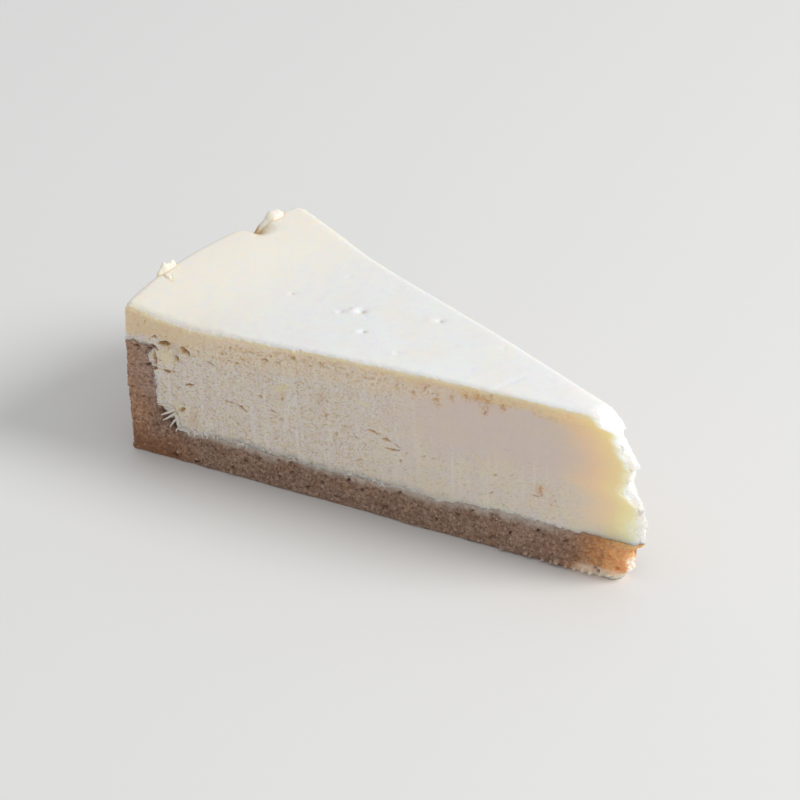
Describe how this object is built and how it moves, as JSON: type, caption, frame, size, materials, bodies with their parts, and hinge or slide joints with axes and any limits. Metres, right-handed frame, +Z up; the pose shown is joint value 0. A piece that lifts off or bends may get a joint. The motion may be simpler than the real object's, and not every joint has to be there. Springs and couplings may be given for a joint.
{
  "type": "cheesecake slice",
  "caption": "Slice of baked cheesecake: pale custard filling on a crumb base whose crust rises round the rim, with a torn tip.",
  "frame": {"origin": "on the flat underside, halfway along the slice, on the line from the middle of the rim to the tip", "axes": "+X from the round rim towards the tip, +Z up, +Y completes a right-handed frame"},
  "size_m": [0.1264, 0.058, 0.0406],
  "materials": {
    "biscuit_crumb": null,
    "baked_custard": null
  },
  "bodies": {
    "root": {"crumb_crust": "biscuit_crumb", "baked_filling": "baked_custard"}
  },
  "joints": []
}
